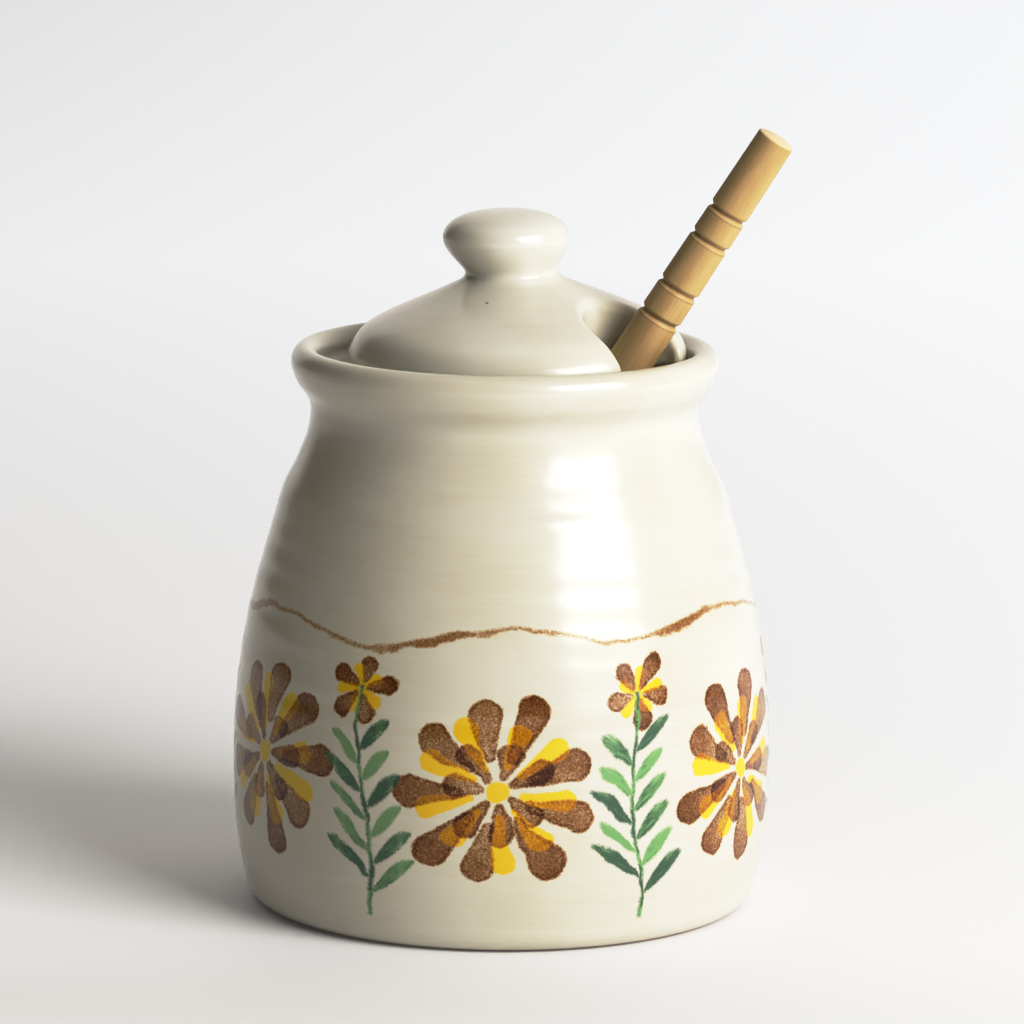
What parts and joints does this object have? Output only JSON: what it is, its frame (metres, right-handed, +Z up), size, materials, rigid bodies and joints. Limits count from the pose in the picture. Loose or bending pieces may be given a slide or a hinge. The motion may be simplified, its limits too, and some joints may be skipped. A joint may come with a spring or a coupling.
{
  "type": "honey pot",
  "caption": "Lidded stoneware honey jar with a rolled rim, a notched domed lid with a round knob, and a wooden honey dipper leaning out of it.",
  "frame": {"origin": "centre of the jar's flat base, on the surface it stands on", "axes": "+Z up along the jar's axis; +X towards the side that the dipper's handle leans to; -Y is the front, where the lid's notch opens"},
  "size_m": [0.1077, 0.1062, 0.1553],
  "materials": {
    "pot_glaze": "glossy cream glaze with a painted brown, yellow and green band of flowers",
    "lid_glaze": "glossy plain cream glaze",
    "dipper_wood": "bare pale turned beech"
  },
  "bodies": {
    "root": {"pot": "pot_glaze", "lid": "lid_glaze", "dipper": "dipper_wood"}
  },
  "joints": []
}
